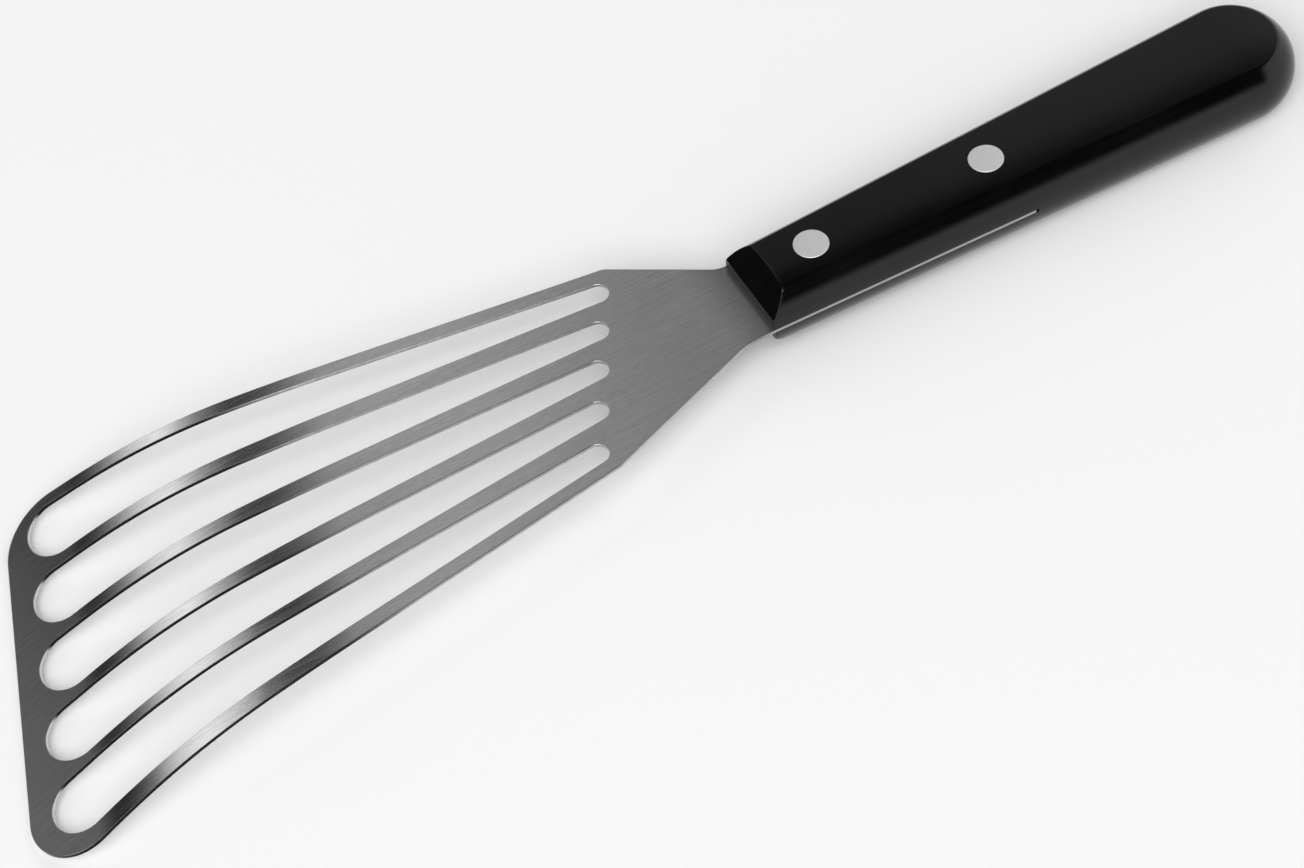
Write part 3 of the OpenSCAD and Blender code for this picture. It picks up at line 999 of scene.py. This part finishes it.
    def build(self) -> Piece:
        """Makes the handle.

        Returns:
            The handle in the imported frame, standing for the handle's solid.
        """
        made = self.blank()
        self.cut_front(made)
        handle = to_object(to_mesh(made, "handle_body"), "handle_body", self.finish.material())
        cutter = self.cutter()
        cut = handle.modifiers.new("slit_and_holes", "BOOLEAN")
        cut.object = cutter
        cut.operation = "DIFFERENCE"
        cut.solver = "EXACT"
        cut.use_self = True
        apply_modifiers(handle)
        bpy.data.objects.remove(cutter)
        handle.data.transform(self.pose.matrix())
        shade_smooth(handle.data)
        handle.data.set_sharp_from_angle(angle=SHARP_ANGLE)
        # large flat faces keep their own direction up to the small bevels beside them
        handle.modifiers.new("flat_faces_first", "WEIGHTED_NORMAL").keep_sharp = True
        apply_modifiers(handle)
        return self.dress(handle)

    def dress(self, handle: Piece) -> Piece:
        """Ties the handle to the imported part."""
        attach(handle, "root")
        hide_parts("handle")
        return handle


def turned(made: Draft, profile: Sequence[Pair], count: int, x: float = 0.0) -> None:
    """Adds a turned shape, closed by a face at each end.

    Args:
        made: The mesh to add to.
        profile: Radius and height of each ring.
        count: Points in a ring.
        x: Where the upright axis stands.
    """
    turns = [2 * math.pi * i / count for i in range(count)]
    rings = [[made.verts.new((x + radius * math.cos(a), radius * math.sin(a), height))
              for a in turns] for radius, height in profile]
    for ring, following in zip(rings[:-1], rings[1:]):
        for i in range(count):
            j = (i + 1) % count
            made.faces.new((ring[i], ring[j], following[j], following[i]))
    made.faces.new(rings[0][::-1])
    made.faces.new(rings[-1])


class RivetHalf(Enum):
    """The two halves of a compression rivet."""

    TUBE = "tube"
    PIN = "pin"


@dataclass
class Rivet:
    """One half of a compression rivet."""

    pose: RestPose
    finish: SatinRivet
    place: str
    half: RivetHalf
    cheek: float = 7.3
    head_r: float = 3.5
    head_t: float = 1.6
    edge_r: float = 0.2
    edge_steps: int = 6
    tube_r: float = 2.3
    tube_lead: float = 0.15
    pin_r: float = 1.5
    pin_lead: float = 0.2
    bore_r: float = 1.52
    # how far each shank stops short of the other half's head
    slack: float = 0.4
    # radius of the smallest ring, which closes each end
    centre_r: float = 0.05
    count: int = 96

    def node(self) -> str:
        """Name of the solid that this half stands for."""
        return f"{self.place}_rivet_{self.half.value}"

    def profile(self) -> list[Pair]:
        """Radius and height of each ring, from the middle of the outer face."""
        under = self.cheek - self.head_t
        end = self.slack - under
        head = [(self.centre_r, self.cheek)]
        for i in range(self.edge_steps + 1):
            a = math.radians(90.0 - 90.0 * i / self.edge_steps)
            head.append((self.head_r - self.edge_r * (1 - math.cos(a)),
                         self.cheek - self.edge_r * (1 - math.sin(a))))
        head.append((self.head_r, under))
        if self.half is RivetHalf.TUBE:
            return head + [(self.tube_r, under), (self.tube_r, end + self.tube_lead),
                           (self.tube_r - self.tube_lead, end), (self.bore_r, end),
                           (self.bore_r, under), (self.centre_r, under)]
        return head + [(self.pin_r, under), (self.pin_r, end + self.pin_lead),
                       (self.pin_r - self.pin_lead, end), (self.centre_r, end)]

    def build(self) -> Piece:
        """Makes the rivet half.

        Returns:
            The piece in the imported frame, standing for its solid.
        """
        made = bmesh.new()
        turned(made, self.profile(), self.count)
        bmesh.ops.recalc_face_normals(made, faces=made.faces[:])
        place = self.pose.matrix() @ Matrix.Translation((RIVET_PLACES[self.place], 0.0, 0.0))
        if self.half is RivetHalf.PIN:
            place = place @ Matrix.Rotation(math.pi, 4, "X")
        name = self.node() + "_metal"
        mesh = to_mesh(made, name)
        mesh.transform(place)
        shade_smooth(mesh)
        mesh.set_sharp_from_angle(angle=SHARP_ANGLE)
        return self.dress(to_object(mesh, name, self.finish.material()))

    def dress(self, piece: Piece) -> Piece:
        """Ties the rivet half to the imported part."""
        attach(piece, "root")
        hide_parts(self.node())
        return piece


@dataclass(frozen=True)
class Studio:
    """Pale floor, a sky of soft strips across the handle, and one large soft lamp.

    Lengths are metres here. The sky's level depends on two things: how far a direction leans to
    the butt end, from -1 to 1, and its turn about the handle's axis in degrees, 0 at the far
    horizon and 180 at the near one.
    """

    floor_size: float = 8.0
    lamp_place: Triple = (-1.10, -1.90, 2.60)
    lamp_size: float = 2.4
    lamp_power: float = 76.0
    # level of the near and low sky and of its ends; straight above the handle; above the blade
    plain_level: float = 1.0
    overhead_level: float = 0.02
    top_level: float = 0.50
    # level of the far sky against its lean
    strips: tuple[Pair, ...] = (
        (-1.00, 0.03), (-0.60, 0.04), (-0.46, 0.22), (-0.41, 0.22), (-0.39, 0.16), (-0.36, 0.04),
        (-0.33, 0.01), (-0.30, 0.03), (-0.27, 0.19), (-0.24, 0.50), (-0.20, 0.93), (-0.15, 1.15),
        (-0.10, 1.38), (-0.05, 1.22), (-0.01, 0.78), (0.02, 0.42), (0.05, 0.13), (0.08, 0.03),
        (0.12, 0.01), (0.145, 0.07), (0.165, 0.26), (0.185, 0.48), (0.215, 0.58), (0.235, 0.44),
        (0.255, 0.30), (0.29, 0.23), (0.35, 0.43), (0.45, 0.47), (0.60, 0.80), (1.00, 0.95),
    )
    # the strips between these leans are slanted: how far they move for each radian of turn, and
    # the turn at which they stand as listed
    middle_rise: Pair = (-0.16, 0.0)
    middle_fall: Pair = (0.04, 0.15)
    slant: float = 0.92
    slant_turn: float = 50.5
    # the same for the strips to the left of these leans
    left_edge: Pair = (-0.34, -0.28)
    left_slant: float = 0.25
    left_turn: float = 34.0
    # turns between which the strips end, and how much lower they end beyond these leans
    over_turns: Pair = (57.2, 63.5)
    butt_lean: Pair = (0.22, 0.30)
    butt_lowering: float = 3.2
    # turns between which the near sky begins, and leans at which the sky's ends open
    near_turns: Pair = (158.0, 181.0)
    end_lean: Pair = (0.45, 0.65)
    # turns between which the sky above the blade begins, and leans at which it ends
    top_turns: Pair = (74.0, 98.0)
    top_lean: Pair = (0.10, 0.24)
    # heights between which the plain horizon gives way to the rest
    horizon: Pair = (0.02, 0.10)

    def build(self) -> None:
        """Makes the floor, the sky and the lamp."""
        self._floor()
        self._sky()
        self._lamp()

    def _floor(self) -> None:
        """A square floor at the height where the tool rests."""
        half = self.floor_size / 2
        made = bmesh.new()
        made.faces.new([made.verts.new((x * half, y * half, 0.0))
                        for x, y in ((-1, -1), (1, -1), (1, 1), (-1, 1))])
        to_object(to_mesh(made, "floor"), "floor", PlainFloor().material())

    def _sky(self) -> None:
        """Sky brightness from its direction alone, the same for every kind of ray."""
        world = bpy.data.worlds.new("studio")
        bpy.context.scene.world = world
        world.use_nodes = True
        graph = Graph(world.node_tree)
        lean, side, height = graph.parts(graph.node("ShaderNodeTexCoord").outputs["Generated"])
        turn = graph.maths("ARCTAN2", height, side)
        strips = self._strips(graph, lean, turn)
        near = turn.smooth(*np.radians(self.near_turns))
        lowered = lean.smooth(*self.butt_lean) * math.radians(self.butt_lowering)
        over = (turn + lowered).smooth(*np.radians(self.over_turns))
        open_end = lean.size().smooth(*self.end_lean)
        overhead = self.overhead_level + (self.plain_level - self.overhead_level) * open_end
        above_blade = turn.smooth(*np.radians(self.top_turns))
        above_blade = above_blade * (1.0 - lean.smooth(*self.top_lean))
        overhead = graph.maths("MAXIMUM", overhead, above_blade * self.top_level)
        level = strips * (1.0 - over) + overhead * (over * (1.0 - near)) + self.plain_level * near
        up = height.smooth(*self.horizon)
        level = level * up + (1.0 - up) * self.plain_level
        sky = graph.node("ShaderNodeBackground", {},
                         {"Color": (1.0, 1.0, 1.0, 1.0), "Strength": level})
        graph.finish(sky.outputs["Background"], "ShaderNodeOutputWorld")

    def _strips(self, graph: Graph, lean: Signal, turn: Signal) -> Signal:
        """Level of the far sky.

        Args:
            graph: The world's node tree.
            lean: How far a direction leans to the butt end.
            turn: Its turn about the handle's axis, in radians.

        Returns:
            The strips' level, 1 where the sky is as bright as the plain level.
        """
        peak = max(level for _, level in self.strips)
        stops = [((x + 1) / 2, level / peak) for x, level in self.strips]
        middle = lean.smooth(*self.middle_rise) * (1.0 - lean.smooth(*self.middle_fall))
        tilted = lean - (turn - math.radians(self.slant_turn)) * middle * self.slant
        left = 1.0 - lean.smooth(*self.left_edge)
        tilted = tilted + (turn - math.radians(self.left_turn)) * left * self.left_slant
        ramp = graph.node("ShaderNodeValToRGB", {"stops": stops}, {0: tilted * 0.5 + 0.5})
        return Signal(graph, ramp.outputs["Color"]) * peak

    def _lamp(self) -> None:
        """The large soft lamp, which points at the tool."""
        lamp = bpy.data.lights.new("soft_lamp", "AREA")
        lamp.shape = "SQUARE"
        lamp.size = self.lamp_size
        lamp.energy = self.lamp_power
        made = bpy.data.objects.new("soft_lamp", lamp)
        made.location = self.lamp_place
        made.rotation_euler = (-Vector(self.lamp_place)).to_track_quat("-Z", "Y").to_euler()
        bpy.context.scene.collection.objects.link(made)


@dataclass(frozen=True)
class ViewPoint:
    """The camera of the photograph, with its place in metres."""

    place: Triple = (-0.19027271, -0.4986522, 0.66261929)
    right: Triple = (0.8687435, -0.48211699, -0.11334879)
    down: Triple = (-0.44430127, -0.65754869, -0.60846208)
    focal_px: float = 4500.0
    frame_width_px: int = 1304
    sensor: float = 36.0

    def build(self) -> None:
        """Makes the camera and gives it to the scene."""
        camera = bpy.data.cameras.new("camera")
        camera.sensor_fit = "HORIZONTAL"
        camera.sensor_width = self.sensor
        camera.lens = self.focal_px / self.frame_width_px * self.sensor
        camera.clip_start = 0.01
        made = bpy.data.objects.new("camera", camera)
        right, down = Vector(self.right), Vector(self.down)
        back = -right.cross(down)
        axes = Matrix((right, -down, back)).transposed().to_4x4()
        made.matrix_world = Matrix.Translation(self.place) @ axes
        bpy.context.scene.collection.objects.link(made)
        bpy.context.scene.camera = made


def main() -> None:
    """Builds the spatula and the studio around it."""
    logging.basicConfig(level=logging.INFO, format="%(name)s: %(message)s")
    pose = RestPose()
    steel, black, satin = BrushedSteel(), MouldedBlack(), SatinRivet()
    makers: list[Union[Blade, Handle, Rivet]] = [Blade(pose, steel), Handle(pose, black)]
    makers += [Rivet(pose, satin, place, half) for place in RIVET_PLACES for half in RivetHalf]
    for maker in makers:
        piece = maker.build()
        LOG.info("%s: %d points, %d faces", piece.name, len(piece.data.vertices),
                 len(piece.data.polygons))
    Studio().build()
    ViewPoint().build()
    bpy.context.scene.view_settings.view_transform = "Standard"


if __name__ == "__main__":
    main()
